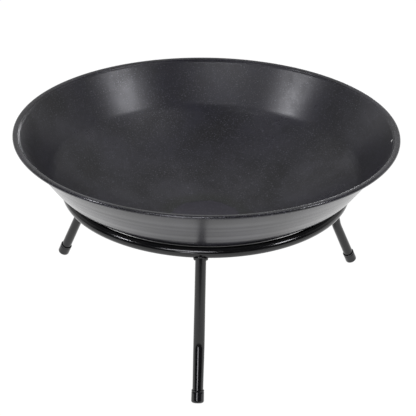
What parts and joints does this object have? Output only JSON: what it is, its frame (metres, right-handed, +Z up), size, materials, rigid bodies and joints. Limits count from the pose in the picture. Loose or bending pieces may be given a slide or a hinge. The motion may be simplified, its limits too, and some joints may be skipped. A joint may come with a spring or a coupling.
{
  "type": "fire bowl on tripod stand",
  "caption": "Wide shallow pressed steel fire bowl with a rolled rim, lying loose in a tubular ring stand on three splayed, bent legs with push-on foot caps.",
  "frame": {"origin": "on the floor, under the middle of the bowl", "axes": "+Z up, the front leg points along -Y, the rear legs stand 120 degrees to each side of it"},
  "size_m": [0.5999, 0.6003, 0.315],
  "materials": {
    "bowl_coating": "satin black heat-resistant coating on pressed steel",
    "stand_coating": "gloss black powder coat on steel tube",
    "weld_coating": "gloss black powder coat over a weld bead",
    "cap_vinyl": "matt black moulded soft vinyl"
  },
  "bodies": {
    "stand": {"ring": "stand_coating", "ring_seam_weld": "weld_coating", "leg_front": "stand_coating", "leg_weld_front": "weld_coating", "foot_cap_front": "cap_vinyl", "leg_rear_right": "stand_coating", "leg_weld_rear_right": "weld_coating", "foot_cap_rear_right": "cap_vinyl", "leg_rear_left": "stand_coating", "leg_weld_rear_left": "weld_coating", "foot_cap_rear_left": "cap_vinyl"},
    "bowl": {"bowl": "bowl_coating"}
  },
  "joints": [
    {"name": "bowl_lift", "type": "slide", "parent": "stand", "child": "bowl", "axis": [0, 0, 1], "range_m": [0, 0.15]}
  ]
}
